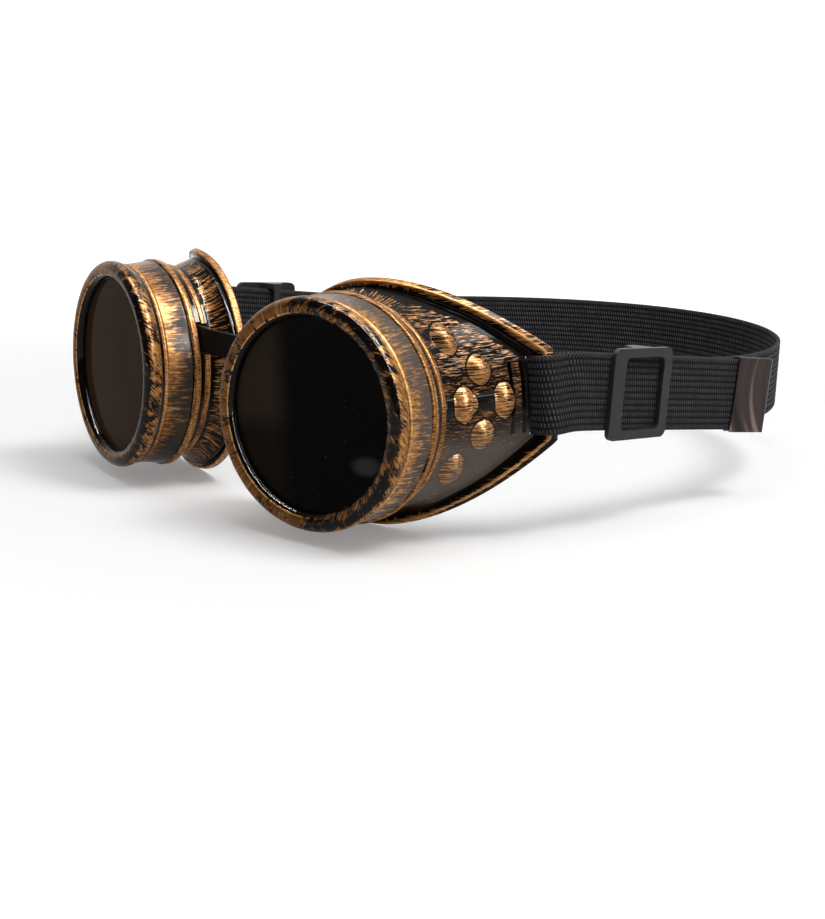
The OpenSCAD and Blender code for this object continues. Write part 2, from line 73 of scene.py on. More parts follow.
# ---------------------------------------------------------------- the cups' places, shared with the model
MM = 0.001
EYE_X, SETBACK = 0.0435, 0.115
TOE, TILT = math.radians(11), math.radians(7.3)
CUP_U = (math.cos(TOE) * math.cos(TILT), math.sin(TOE) * math.cos(TILT), math.sin(TILT))
CUP_V = (-math.cos(TOE) * math.sin(TILT), -math.sin(TOE) * math.sin(TILT), math.cos(TILT))
CUP_D = (-math.sin(TOE), math.cos(TOE), 0.0)


# ---------------------------------------------------------------- node helpers
class Tree:
    """Short ways to add and join shader nodes."""

    def __init__(self, tree):
        self.tree = tree
        self.x = -200

    def add(self, kind, **settings):
        node = self.tree.nodes.new(kind)
        self.x -= 20
        node.location = (self.x, -self.x)
        for key, value in settings.items():
            setattr(node, key, value)
        return node

    def feed(self, socket, value):
        if isinstance(value, bpy.types.NodeSocket):
            self.tree.links.new(value, socket)
        elif value is not None:
            socket.default_value = value

    def math(self, operation, a, b=None, clamp=False):
        node = self.add("ShaderNodeMath", operation=operation, use_clamp=clamp)
        for socket, value in zip(node.inputs, (a, b)):
            self.feed(socket, value)
        return node.outputs[0]

    def vector(self, operation, a, b=None):
        node = self.add("ShaderNodeVectorMath", operation=operation)
        self.feed(node.inputs[0], a)
        if b is not None:
            self.feed(node.inputs[1], b)
        return node.outputs["Value" if operation in ("DOT_PRODUCT", "LENGTH") else "Vector"]

    def combine(self, x, y, z=0.0):
        node = self.add("ShaderNodeCombineXYZ")
        for socket, value in zip(node.inputs, (x, y, z)):
            self.feed(socket, value)
        return node.outputs[0]

    def separate(self, vector):
        node = self.add("ShaderNodeSeparateXYZ")
        self.feed(node.inputs[0], vector)
        return node.outputs

    def noise(self, vector, scale=1.0, detail=2.0, roughness=0.5):
        node = self.add("ShaderNodeTexNoise")
        self.feed(node.inputs["Vector"], vector)
        self.feed(node.inputs["Scale"], scale)
        self.feed(node.inputs["Detail"], detail)
        self.feed(node.inputs["Roughness"], roughness)
        return node.outputs["Fac"]

    def band(self, value, low, high, out_low=0.0, out_high=1.0, smooth=True):
        node = self.add("ShaderNodeMapRange", clamp=True)
        node.interpolation_type = "SMOOTHSTEP" if smooth else "LINEAR"
        for socket, item in zip(node.inputs, (value, low, high, out_low, out_high)):
            self.feed(socket, item)
        return node.outputs[0]

    def mix(self, factor, a, b):
        node = self.add("ShaderNodeMix", data_type="RGBA")
        self.feed(node.inputs["Factor"], factor)
        rgba = [s for s in node.inputs if s.type == "RGBA"]
        self.feed(rgba[0], a)
        self.feed(rgba[1], b)
        return [s for s in node.outputs if s.type == "RGBA"][0]

    def bump(self, height, strength, distance):
        node = self.add("ShaderNodeBump")
        self.feed(node.inputs["Strength"], strength)
        self.feed(node.inputs["Distance"], distance)
        self.feed(node.inputs["Height"], height)
        return node.outputs[0]


def new_material(name):
    material = bpy.data.materials.new(name)
    material.use_nodes = True
    material.node_tree.nodes.clear()
    t = Tree(material.node_tree)
    out = t.add("ShaderNodeOutputMaterial")
    shader = t.add("ShaderNodeBsdfPrincipled")
    material.node_tree.links.new(shader.outputs[0], out.inputs[0])
    return material, t, shader


def cup_coordinates(t, side):
    """Reach to the temple, height and depth in one cup's own frame, in millimetres."""
    place = t.add("ShaderNodeTexCoord").outputs["Object"]
    moved = t.vector("SUBTRACT", place, (side * EYE_X, -SETBACK, 0.0))
    moved = t.vector("MULTIPLY", moved, (side / MM, 1 / MM, 1 / MM))
    u, v, d = (t.vector("DOT_PRODUCT", moved, axis) for axis in (CUP_U, CUP_V, CUP_D))
    radius = t.math("SQRT", t.math("ADD", t.math("MULTIPLY", u, u), t.math("MULTIPLY", v, v)))
    angle = t.math("ARCTAN2", v, u)
    return u, v, d, radius, angle


COPPER = (0.47, 0.205, 0.055, 1)
COPPER_BRIGHT = (0.76, 0.42, 0.165, 1)
COPPER_DEEP = (0.13, 0.050, 0.009, 1)
BLACK = (0.0045, 0.0032, 0.0026, 1)
# painted sheen: a grey-brown that stands in for a reflection on the gloss black
SHEEN_GREY = (0.135, 0.112, 0.096, 1)


def paint_finish(t, shader, paint, tone, painted_sheen):
    """Copper of three tones, as much as tone says, over gloss black that a painted sheen turns grey and
    rougher: the grey is a painted reflection.
    """
    copper = t.mix(t.band(tone, 0.0, 0.5, smooth=False), COPPER_DEEP, COPPER)
    copper = t.mix(t.band(tone, 0.5, 1.0, smooth=False), copper, COPPER_BRIGHT)
    t.feed(shader.inputs["Base Color"], t.mix(paint, t.mix(painted_sheen, BLACK, SHEEN_GREY), copper))
    t.feed(shader.inputs["Metallic"], t.math("MULTIPLY", paint, 0.22))
    rough = t.band(t.math("MAXIMUM", paint, painted_sheen), 0.0, 1.0, 0.07, 0.36, smooth=False)
    t.feed(shader.inputs["Roughness"], rough)
    t.feed(shader.inputs["Normal"], t.bump(paint, 0.35, 0.00004))
    shader.inputs["Specular IOR Level"].default_value = 0.11


def round_strokes(t, angle, along, across_scale, along_scale, seed, detail=3.0, roughness=0.6):
    """Noise drawn out along one direction and running round the lens axis without a seam."""
    reach = 28.0 * across_scale
    x = t.math("MULTIPLY", t.math("COSINE", angle), reach)
    y = t.math("MULTIPLY", t.math("SINE", angle), reach)
    z = t.math("ADD", t.math("MULTIPLY", along, along_scale), seed)
    return t.noise(t.combine(x, y, z), 1.0, detail, roughness)


def total(t, *terms):
    out = terms[0]
    for term in terms[1:]:
        out = t.math("ADD", out, term)
    return out


def times(t, *terms):
    out = terms[0]
    for term in terms[1:]:
        out = t.math("MULTIPLY", out, term)
    return out


def blend(t, a, b, share):
    """a where share is 0, b where it is 1."""
    return t.math("ADD", t.math("MULTIPLY", t.math("SUBTRACT", b, a), share), a)


def cup_paint(name, side):
    """Eyecup: copper rings, strokes along the shell, copper domes and crest, black steps."""
    material, t, shader = new_material(name)
    u, v, d, radius, angle = cup_coordinates(t, side)
    zone = t.add("ShaderNodeAttribute", attribute_name="zone").outputs["Vector"]
    edge, boss, lip = t.separate(zone)[:3]
    depth, back = t.separate(t.add("ShaderNodeAttribute", attribute_name="depth").outputs["Vector"])[:2]
    seed = 11.0 if side > 0 else 47.0
    temple = t.band(u, 10.0, 17.0)
    nose = t.math("SUBTRACT", 1.0, temple)
    broad = t.noise(t.combine(times(t, v, 2.8), times(t, d, 0.24), seed), 1.0, 3.0, 0.6)
    thin = t.noise(t.combine(times(t, v, 6.5), times(t, d, 0.5), seed + 5), 1.0, 2.0)
    level = total(t, times(t, broad, 0.65), times(t, thin, 0.35))
    axial = round_strokes(t, angle, d, 1.9, 0.26, seed + 9)
    strokes = total(t, times(t, level, temple), times(t, axial, nose), times(t, temple, -0.030))
    cloud = t.noise(t.combine(times(t, u, 0.12), times(t, v, 0.20), times(t, d, 0.12)), 1.0, 2.0)
    cloud = times(t, t.math("SUBTRACT", cloud, 0.5), 0.16)
    # less copper low on the panel and by its border
    low = times(t, t.band(v, -5.0, -12.0, 0.0, -0.045), temple)
    margin = times(t, t.band(back, -3.4, -1.8, 0.0, -0.12), temple)
    # painted shade: a thin ring of less copper round each dome's foot darkens it there
    ring = times(t, t.band(boss, 0.99, 1.01), t.band(boss, 1.05, 1.14, 1.0, 0.0), -0.10)
    along_rod = times(t, t.band(t.math("ABSOLUTE", v), 2.1, 2.5, 1.0, 0.0), t.band(d, 34.0, 36.0, 1.0, 0.0))
    dome = total(t, t.band(boss, 0.98, 1.0, 0.070, 0.0), ring,
                 times(t, along_rod, t.band(boss, 0.98, 1.0), temple, -0.09))
    sunk = t.band(depth, -0.3, -0.12, -0.4, 0.0)
    # on the nose side the middle of the neck is rubbed bare and its ends are black
    middle = times(t, t.band(d, 19.6, 21.6), t.band(d, 23.6, 25.4, 1.0, 0.0))
    neck = times(t, t.band(middle, 0.0, 1.0, -0.16, -0.01), nose)
    shell = total(t, strokes, low, margin, dome, neck, cloud, times(t, sunk, t.band(d, 20.0, 20.4)))
    # flange: black at the foot of the step, solid copper on its crest, worn outside it
    foot = t.band(lip, 0.10, 0.42, -0.22, -0.01)
    crest = times(t, t.band(lip, 0.52, 0.66), t.band(lip, 0.84, 0.74))
    upper = t.band(v, -12.0, 8.0, -0.02, 0.05)
    nose_rim = times(t, t.band(lip, 0.45, 0.6, 0.0, 0.14), nose)
    flange = total(t, strokes, foot, times(t, crest, 0.20), upper, nose_rim, cloud)
    on_flange = t.band(edge, 0.02, 0.10)
    amount = blend(t, shell, flange, on_flange)
    # the two rings
    shifted = t.math("SUBTRACT", u, 0.9)
    rear_r = t.math("SQRT", t.math("ADD", times(t, shifted, shifted), times(t, v, v)))
    front_ring = times(t, t.band(radius, 28.2, 28.6), t.band(d, 15.4, 15.6, 1.0, 0.0))
    rear_ring = times(t, t.band(rear_r, 27.1, 27.35), t.band(d, 19.22, 19.3, 1.0, 0.0), t.band(d, 17.3, 17.45))
    rings = t.math("MAXIMUM", front_ring, rear_ring)
    groove = times(t, t.band(d, 19.2, 19.3, 1.0, 0.0), t.math("SUBTRACT", 1.0, rings),
                   t.band(u, -8.0, 2.0, 1.0, 0.1))
    lines = round_strokes(t, angle, d, 0.12, 5.0, seed + 21)
    specks = round_strokes(t, angle, d, 1.8, 1.4, seed + 31)
    ring_amount = total(t, 0.10, times(t, lines, 0.75), times(t, specks, 0.25))
    inside = times(t, t.band(rear_r, NECK_R - 1.5, NECK_R - 1.2, 1.0, 0.0), t.band(d, 20.6, 21.0, 1.0, 0.0))
    amount = total(t, blend(t, amount, ring_amount, rings), times(t, groove, -0.4), times(t, inside, -0.4))
    paint = t.band(amount, 0.48, 0.56)
    tone = t.noise(t.combine(times(t, v, 3.5), times(t, d, 0.8), seed + 2), 1.0, 3.0, 0.6)
    # tone: a painted highlight just inside each dome's foot, and painted shade at its very edge
    tone = total(t, times(t, t.math("SUBTRACT", tone, 0.5), 3.0), 0.50,
                 t.band(boss, 0.82, 0.96, 0.08, 0.35), t.band(boss, 0.97, 1.0, 0.0, -0.35),
                 times(t, crest, on_flange, 0.2),
                 times(t, t.band(boss, 1.0, 1.02), temple, t.math("SUBTRACT", 1.0, on_flange), -0.28),
                 times(t, t.math("SUBTRACT", lines, 0.5), rings, 2.2), times(t, nose, -0.1))
    # painted sheen: low on the temple panel, off the flange and behind the rear ring, the black is painted
    # grey as a reflection
    low_panel_sheen = times(t, t.band(v, -4.0, -13.0, 0.0, 0.8), temple, t.math("SUBTRACT", 1.0, on_flange))
    low_panel_sheen = t.math("MULTIPLY", low_panel_sheen, t.band(d, 19.2, 19.4))
    paint_finish(t, shader, paint, tone, low_panel_sheen)
    return material


def bezel_paint(name, side):
    """Bezel: a lip of solid copper that frays over the band, and a roll brushed aslant."""
    near = side > 0
    material, t, shader = new_material(name)
    u, v, d, radius, angle = cup_coordinates(t, side)
    seed = 11.0 if near else 47.0
    right = t.math("DIVIDE", times(t, u, float(side)), radius)
    around = t.math("ARCTAN2", t.math("SUBTRACT", 2.0, d), t.math("SUBTRACT", radius, 26.5))
    cloud = times(t, t.math("SUBTRACT", round_strokes(t, angle, d, 0.09, 0.08, seed + 7, 2.0), 0.5), 0.30)
    # band: solid at the lip, then soft strokes that thin out towards the rear edge
    strokes = total(t, times(t, round_strokes(t, angle, d, 1.7, 0.16, seed), 0.6),
                    times(t, round_strokes(t, angle, d, 3.6, 0.5, seed + 1, 2.0), 0.4))
    lip = t.band(d, 5.7, 6.3, 0.22, 0.0)
    fade = t.band(d, 5.9, 11.0 if near else 11.5, 0.055 if near else 0.12, -0.07, smooth=False)
    low = t.band(v, -22.0, 0.0, 0.03 if near else -0.04, 0.0)
    band_paint = t.band(total(t, strokes, lip, fade, low, cloud), 0.44, 0.60)
    # roll: brown copper on the nose half, on the temple half strokes aslant on black
    half = t.band(right, -0.35, 0.25) if near else t.band(right, -0.25, 0.45)
    skewed = t.math("ADD", angle, times(t, around, half, -0.09 * side))
    fine = round_strokes(t, skewed, around, 2.4, 1.3, seed + 13, 3.0, 0.65)
    patches = round_strokes(t, angle, around, 0.42, 0.9, seed + 17, 3.0, 0.6)
    brushed = total(t, times(t, patches, blend(t, 0.75, 0.5, half)), times(t, fine, blend(t, 0.25, 0.5, half)))
    solid = times(t, t.band(around, -0.1, 0.3, -0.10, 0.075), t.band(around, 2.16, 2.24, 1.0, 0.0))
    wall = t.band(around, 2.18, 2.26, 0.0, -0.5)
    nose_half = total(t, solid, wall)
    crown = times(t, t.band(around, 0.55, 0.75), t.band(around, 1.3, 1.7, 1.0, 0.0))
    temple_half = total(t, times(t, crown, -0.07), t.band(around, 0.4, 0.65, 0.02, 0.0),
                        t.band(around, 2.3, 2.9, 0.0, -0.06))
    roll_paint = total(t, brushed, blend(t, nose_half, temple_half, half), times(t, cloud, 0.6))
    roll_paint = t.band(roll_paint, 0.475, 0.55)
    on_roll = t.band(d, 3.9, 4.1, 1.0, 0.0)
    paint = blend(t, band_paint, roll_paint, on_roll)
    groove = times(t, t.band(d, 4.0, 4.15), t.band(d, 4.95, 5.1, 1.0, 0.0))
    inside = t.band(radius, 24.02, 24.10, 1.0, 0.0)
    keep = t.math("SUBTRACT", 1.0, t.math("MAXIMUM", groove, inside))
    paint = times(t, paint, keep)
    flecks = times(t, t.math("SUBTRACT", round_strokes(t, skewed, d, 1.3, 0.5, seed + 23), 0.5),
                   blend(t, 2.4, 1.0, t.math("MULTIPLY", on_roll, t.math("SUBTRACT", 1.0, half))))
    rim = times(t, t.band(around, 2.02, 2.10), t.math("SUBTRACT", 1.0, half), 0.7)
    roll_tone = total(t, blend(t, 0.06, t.band(around, 0.5, 1.0, 0.40, 0.05), half), rim)
    edge = times(t, t.band(d, 5.0, 5.15), t.band(d, 5.7, 6.1, 1.0, 0.0), 0.2)
    band_tone = total(t, 0.5, edge)
    # painted shade: on the far cup the band's copper is painted darker towards its bottom
    if not near:
        band_tone = total(t, band_tone, t.band(v, -20.0, 4.0, -0.45, 0.0))
    tone = t.math("ADD", blend(t, band_tone, roll_tone, on_roll), flecks)
    # painted sheen: the band's black is painted grey-brown, most towards its top, standing in for a reflection
    low_sheen, most_sheen = (0.55, 0.75) if near else (0.1, 0.45)
    painted_sheen = times(t, t.band(d, 4.9, 5.1), most_sheen, t.band(v, -24.0, 6.0, low_sheen, 1.0))
    paint_finish(t, shader, paint, tone, times(t, painted_sheen, keep))
    return material


def lens_material(name, side, colour, painted_reflection, level):
    """Dark lens with a few specks of dust, a painted brown reflection on its nose side and, on the left lens,
    a painted grey reflection spot.
    """
    material, t, shader = new_material(name)
    u, v = cup_coordinates(t, side)[:2]
    place = t.add("ShaderNodeTexCoord").outputs["Object"]
    haze = t.noise(place, 22.0, 2.0)
    speck = t.band(t.noise(place, 1900.0, 0.0), 0.845, 0.87)
    # painted reflection: a soft brown patch on the nose side and a soft grey spot stand in for the room the
    # lens reflects
    share = times(t, t.band(u, -5.0, -13.0), t.band(v, -6.0, 3.0, 0.25, 1.0))
    dark = t.mix(t.band(haze, 0.3, 0.7), tuple(c * 0.75 for c in colour[:3]) + (1,), colour)
    away_u, away_v = times(t, t.math("ADD", u, -16.0), 0.27), times(t, t.math("ADD", v, 12.2), 0.50)
    painted_reflection_spot = t.band(total(t, times(t, away_u, away_u), times(t, away_v, away_v)), 0.0, 2.2, 0.5, 0.0)
    look = t.mix(share, dark, painted_reflection)
    if side > 0:
        look = t.mix(painted_reflection_spot, look, (0.062, 0.065, 0.071, 1))
    t.feed(shader.inputs["Base Color"], t.mix(speck, look, (0.05, 0.05, 0.045, 1)))
    t.feed(shader.inputs["Roughness"], t.band(haze, 0.0, 1.0, 0.04, 0.09))
    shader.inputs["Specular IOR Level"].default_value = level
    return material


def plastic(name, colour, roughness, grain, depth, level=0.5):
    material, t, shader = new_material(name)
    place = t.add("ShaderNodeTexCoord").outputs["Object"]
    fine = t.noise(place, grain, 3.0, 0.6)
    wide = t.noise(place, grain * 0.05, 2.0)
    light = tuple(min(1.0, c * 1.3 + 0.001) for c in colour[:3]) + (1,)
    t.feed(shader.inputs["Base Color"], t.mix(t.band(wide, 0.3, 0.75), colour, light))
    t.feed(shader.inputs["Roughness"], t.band(fine, 0.2, 0.8, roughness - 0.07, roughness + 0.08))
    t.feed(shader.inputs["Normal"], t.bump(fine, 0.25, depth))
    shader.inputs["Specular IOR Level"].default_value = level
    return material


def clear_plastic(name):
    material, t, shader = new_material(name)
    place = t.add("ShaderNodeTexCoord").outputs["Object"]
    haze = t.noise(place, 40.0, 2.0)
    t.feed(shader.inputs["Base Color"], t.mix(haze, (0.86, 0.9, 0.92, 1), (0.93, 0.95, 0.96, 1)))
    t.feed(shader.inputs["Roughness"], t.band(haze, 0.2, 0.8, 0.02, 0.06))
    shader.inputs["Transmission Weight"].default_value = 0.9
    shader.inputs["IOR"].default_value = 1.49
    return material


def tip_metal(name):
    """Dark polished metal with upright streaks of light painted into its colour: painted reflections, as a
    folded plate shows them.
    """
    material, t, shader = new_material(name)
    place = t.add("ShaderNodeTexCoord").outputs["Object"]
    _, y, z = t.separate(place)
    bow = times(t, z, z, -26.0)
    run = t.math("ADD", times(t, t.math("ADD", y, bow), 170.0), 0.6)
    streak = t.noise(t.combine(run, times(t, z, 16.0)), 1.0, 1.0, 0.5)
    scratch = t.noise(t.vector("MULTIPLY", place, (400.0, 400.0, 5000.0)), 1.0, 2.0)
    # painted reflections: the base colour runs from dark to light upright streaks
    tint = t.mix(t.band(streak, 0.36, 0.50), (0.007, 0.0045, 0.004, 1), (0.032, 0.020, 0.016, 1))
    tint = t.mix(t.band(streak, 0.55, 0.68), tint, (0.20, 0.15, 0.125, 1))
    t.feed(shader.inputs["Base Color"], tint)
    shader.inputs["Metallic"].default_value = 0.55
    t.feed(shader.inputs["Roughness"], t.math("ADD", 0.08, times(t, scratch, 0.1)))
    t.feed(shader.inputs["Normal"], t.bump(scratch, 0.05, 0.00003))
    shader.inputs["Specular IOR Level"].default_value = 0.2
    return material


def webbing(name):
    """Ribbed knit elastic: rows of small loops along each rib, laid by the strap's own UV map."""
    material, t, shader = new_material(name)
    uv = t.add("ShaderNodeUVMap", uv_map="strap").outputs[0]
    along, across, _ = t.separate(uv)
    rib = t.math("MULTIPLY", across, 12.0)
    within = t.math("FRACT", rib)
    row = t.math("FLOOR", rib)
    mm = t.math("MULTIPLY", along, 1000.0)
    selvedge = t.band(t.math("ABSOLUTE", t.math("SUBTRACT", across, 0.5)), 0.455, 0.465)
    wobble = t.noise(t.combine(t.math("MULTIPLY", mm, 0.35), rib), 1.0, 2.0)
    lean = t.math("MULTIPLY", within, t.band(selvedge, 0.0, 1.0, 0.25, 1.5, smooth=False))
    phase = total(t, t.math("DIVIDE", mm, 0.86), times(t, row, 0.37), lean, times(t, wobble, 0.5))
    beat = t.math("ABSOLUTE", t.math("SINE", t.math("MULTIPLY", phase, math.pi)))
    body = t.math("MULTIPLY", t.band(within, 0.08, 0.22), t.band(within, 0.62, 0.86, 1.0, 0.0))
    body = t.math("MAXIMUM", body, t.math("MULTIPLY", selvedge, 0.8))
    loop = t.math("MULTIPLY", t.band(beat, 0.55, 0.98), body)
    fuzz = t.noise(t.combine(t.math("MULTIPLY", mm, 9.0), t.math("MULTIPLY", across, 180.0)), 1.0, 2.0)
    wear = t.noise(t.combine(t.math("MULTIPLY", mm, 0.25), t.math("MULTIPLY", across, 5.0)), 1.0, 2.0)
    # the loops are lighter than the gaps: partly the knit's own pattern, partly a painted sheen
    light = t.math("MULTIPLY", loop, t.band(wear, 0.3, 0.7, 0.55, 1.0))
    light = t.math("ADD", light, t.math("MULTIPLY", t.math("SUBTRACT", fuzz, 0.4), 0.22), clamp=True)
    t.feed(shader.inputs["Base Color"], t.mix(light, (0.0035, 0.0035, 0.0042, 1), (0.075, 0.073, 0.080, 1)))
    t.feed(shader.inputs["Roughness"], t.band(loop, 0.0, 1.0, 0.9, 0.6))
    height = t.math("ADD", loop, t.math("MULTIPLY", fuzz, 0.25))
    t.feed(shader.inputs["Normal"], t.bump(height, 0.9, 0.0002))
    shader.inputs["Specular IOR Level"].default_value = 0.08
    return material


# ---------------------------------------------------------------- shapes
def outward(o):
    """Turns all of a closed mesh's faces outwards."""
    bm = bmesh.new()
    bm.from_mesh(o.data)
    bmesh.ops.recalc_face_normals(bm, faces=bm.faces)
    bm.to_mesh(o.data)
    bm.free()
    return o


def mesh_object(name, points, faces, smooth=True):
    mesh = bpy.data.meshes.new(name)
    mesh.from_pydata(points, [], faces)
    mesh.validate()
    mesh.polygons.foreach_set("use_smooth", [smooth] * len(mesh.polygons))
    o = bpy.data.objects.new(name, mesh)
    bpy.context.scene.collection.objects.link(o)
    return o


def shade(bm, limit):
    """Smooth faces, with a sharp edge wherever two faces meet at more than the limit."""
    for face in bm.faces:
        face.smooth = True
    for edge in bm.edges:
        edge.smooth = len(edge.link_faces) == 2 and edge.calc_face_angle(0.0) < limit


def dressed_copy(node, angle, bevel):
    """A welded, smoothly shaded copy of a CAD node, which stands for it."""
    source = NODES[node]
    bm = bmesh.new()
    bm.from_mesh(source.data)
    bmesh.ops.remove_doubles(bm, verts=bm.verts, dist=1e-6)
    bmesh.ops.dissolve_degenerate(bm, dist=1e-6, edges=bm.edges)
    limit = math.radians(angle)
    shade(bm, limit)
    mesh = bpy.data.meshes.new(node + "_skin")
    bm.to_mesh(mesh)
    bm.free()
    o = bpy.data.objects.new(node + "_skin", mesh)
    bpy.context.scene.collection.objects.link(o)
    modifier = o.modifiers.new("edge", "BEVEL")
    modifier.width = bevel
    modifier.segments = 2
    modifier.limit_method = "ANGLE"
    modifier.angle_limit = limit
    modifier.harden_normals = True
    return o


def set_material(o, material):
    o.data.materials.clear()
    o.data.materials.append(material)


BODY_OF = {n: b for b, ns in frame["record"]["behaviour"]["bodies"].items() for n in ns}


def stand_for(o, node, material):
    set_material(o, material)
    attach(o, BODY_OF[node])
    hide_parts(node)


# ---------------------------------------------------------------- strap sizes, as in the model, in millimetres
def unit(v):
    return v.normalized()


def cup_point(u, d):
    x, y, z = (u * along + d * back for along, back in zip(CUP_U, CUP_D))
    return Vector((EYE_X / MM + x, -SETBACK / MM + y, z))


STRAP_W, STRAP_T, LAYER_GAP = 20.0, 1.2, 0.3
FALL, RISE = math.radians(6), 2.0
TAIL_L, TAIL_LEAN = 25.0, math.radians(3)
INNER_X = 76.4
OUTER_X = INNER_X + STRAP_T + LAYER_GAP
LOOP_L = 96.0
TEMPLE_REACH, TEMPLE_D, LIP = 42.6, 46.9, 1.8
NECK_U, BORDER_U = 27.5, 38.2
FOOT_D, BORDER_D = 19.55, 44.6
SLOPE = math.atan2(BORDER_U - NECK_U, BORDER_D - FOOT_D)
SLOT_D = BORDER_D - 0.3
SLOT_U = NECK_U + (BORDER_U - NECK_U) * (SLOT_D - FOOT_D) / (BORDER_D - FOOT_D)
SLOT = cup_point(SLOT_U, SLOT_D)
JOIN_Y = SLOT.y + 12


# ---------------------------------------------------------------- eyecup skins, finer than the model's facets
NECK_R, RING_SHIFT, WALL = 26.6, 0.9, 2.0
RIM_R, RIM_D, TEMPLE_HALF_H = 31.8, 27.6, 11.6
SHELL_D = 18.35
COLLAR_D, COLLAR_W, COLLAR_R = 13.2, 2.0, 29.3
RING_D, RING_W, RING_R = 17.5, 1.7, 27.7
NECK_D = RING_D + RING_W


def outline_r(phi):
    c, s = math.cos(phi), abs(math.sin(phi))
    if c < 0.001:
        return RIM_R
    bow = (RIM_R - TEMPLE_HALF_H) * c * c / TEMPLE_REACH ** 2
    return min((-s + math.sqrt(s * s + 4 * bow * RIM_R)) / (2 * bow), TEMPLE_REACH / c)


def share(phi):
    return (1 + math.cos(phi)) / 2


def outline_d(phi):
    reach = max(outline_r(phi) * math.cos(phi), 0) / TEMPLE_REACH
    return RIM_D + (TEMPLE_D - RIM_D) * reach ** 1.6


CORNER = math.atan2(TEMPLE_HALF_H, TEMPLE_REACH)


def corner_share(phi):
    a = math.acos(math.cos(phi))
    if a < CORNER:
        return min(max(1.35 * a / CORNER - 0.35, 0), 1) ** 2
    return min(max(1 - math.degrees(a - CORNER) / 21, 0), 1) ** 1.3


def border(phi):
    flange = 1.8 + (4.4 - 1.8) * share(phi) ** 2 + 1.5 * corner_share(phi)
    step = 1.2 + (0.5 - 1.2) * share(phi) ** 2
    return outline_r(phi) - flange, outline_d(phi) - LIP - step


def shell_point(t, phi):
    foot = NECK_R + RING_SHIFT * math.cos(phi)
    r, d = border(phi)
    return foot + (r - foot) * t ** (2.3 - 1.3 * share(phi)), FOOT_D + (d - FOOT_D) * t


def shell_section(phi):
    """One closed line through the wall: shell, step, flange with its crest, rim and the inside."""
    r_out, d_out = outline_r(phi), outline_d(phi)
    r_in, d_in = border(phi)
    foot = NECK_R + RING_SHIFT * math.cos(phi)
    width = r_out - r_in
    valley_r, valley_d = r_in + 0.36, d_out - LIP + 0.4
    crest_r, crest_d = r_out - 0.3 * width, d_out - LIP - 0.2
    outer = [shell_point(i / 20, phi) for i in range(20)] + [
        (r_in - 0.14, d_in - 0.06), (r_in, d_in), (r_in + 0.10, d_in + 0.16)]
    gap = crest_r - valley_r
    flange = [(r_in + 0.20, valley_d - 0.28), (r_in + 0.26, valley_d - 0.06), (valley_r, valley_d),
              (valley_r + 0.30 * gap, valley_d - 0.04), (valley_r + 0.60 * gap, valley_d - 0.20),
              (valley_r + 0.85 * gap, crest_d + 0.16), (crest_r - 0.06 * gap, crest_d + 0.03),
              (crest_r, crest_d), (crest_r + 0.14, crest_d + 0.06), (crest_r + 0.32, crest_d + 0.24),
              (r_out - 0.14, d_out - 0.84), (r_out - 0.03, d_out - 0.66), (r_out, d_out - 0.5),
              (r_out, d_out - 0.3), (r_out - 0.09, d_out - 0.09), (r_out - 0.3, d_out)]
    inner = [(r_in - WALL + 0.5, d_out)]
    for i in range(12, -1, -1):
        r, d = shell_point(i / 12, phi)
        inner.append((r - WALL, d))
    return [(foot, SHELL_D)] + outer + flange + inner + [(foot - WALL, SHELL_D)]


def closed_loft(name, sections):
    m, n = len(sections[0]), len(sections)
    faces = [(i * m + j, i * m + (j + 1) % m, (i + 1) % n * m + (j + 1) % m, (i + 1) % n * m + j)
             for i in range(n) for j in range(m)]
    return outward(mesh_object(name, [p for s in sections for p in s], faces))


def turned(name, profile, steps=240, shift=0.0):
    """A closed profile of (radius, depth) points turned round the lens axis."""
    sections = []
    for i in range(steps):
        a = 2 * math.pi * i / steps
        sections.append([(r * math.cos(a) + shift, r * math.sin(a), d) for r, d in profile])
    return closed_loft(name, sections)


def block(name, corner, size):
    x, y, z = corner
    a, b, c = size
    points = [(x + i * a, y + j * b, z + k * c) for i in (0, 1) for j in (0, 1) for k in (0, 1)]
    faces = [(0, 1, 3, 2), (4, 6, 7, 5), (0, 4, 5, 1), (2, 3, 7, 6), (0, 2, 6, 4), (1, 5, 7, 3)]
    return mesh_object(name, points, faces, smooth=False)


def combine_solids(base, others, operation):
    for other in others:
        modifier = base.modifiers.new("join", "BOOLEAN")
        modifier.object = other
        modifier.operation = operation
        modifier.solver = "MANIFOLD"
    dg = bpy.context.evaluated_depsgraph_get()
    mesh = bpy.data.meshes.new_from_object(base.evaluated_get(dg))
    base.modifiers.clear()
    base.data = mesh
    for other in others:
        bpy.data.objects.remove(other)
    return base


def on_shell(d, phi):
    """A frame on the shell: +Z out of it and +X towards the temple."""
    r = shell_point((d - FOOT_D) / (border(phi)[1] - FOOT_D), phi)[0]
    out = Vector((math.cos(SLOPE), 0, -math.sin(SLOPE)))
    back = Vector((math.sin(SLOPE), 0, math.cos(SLOPE)))
    side = out.cross(back)
    frame_matrix = Matrix((
        (back.x, side.x, out.x, r), (back.y, side.y, out.y, 0), (back.z, side.z, out.z, d), (0, 0, 0, 1)))
    return Matrix.Rotation(-phi, 4, "Z") @ frame_matrix


DOME_L, ROUND_L, DOME_W, DOME_H = 4.8, 4.0, 3.4, 2.4
GROUP_D, DOME_RISE, DOME_RUN = 30.2, 8.1, 5.9
SINGLE_D, SINGLE_ANGLE = 25.4, math.radians(33.5)
ROD_W, ROD_H = 2.4, 1.2
SLOTS, SLOT_STEP = ((19.8, 3.2), (18.0, 1.2), (18.0, 1.2)), 3.4
THREAD_R, THREAD_D, BORE_R = 26.0, 6.4, 23.4
NOTCH_V, NOTCH_W = 10.5, 8.8


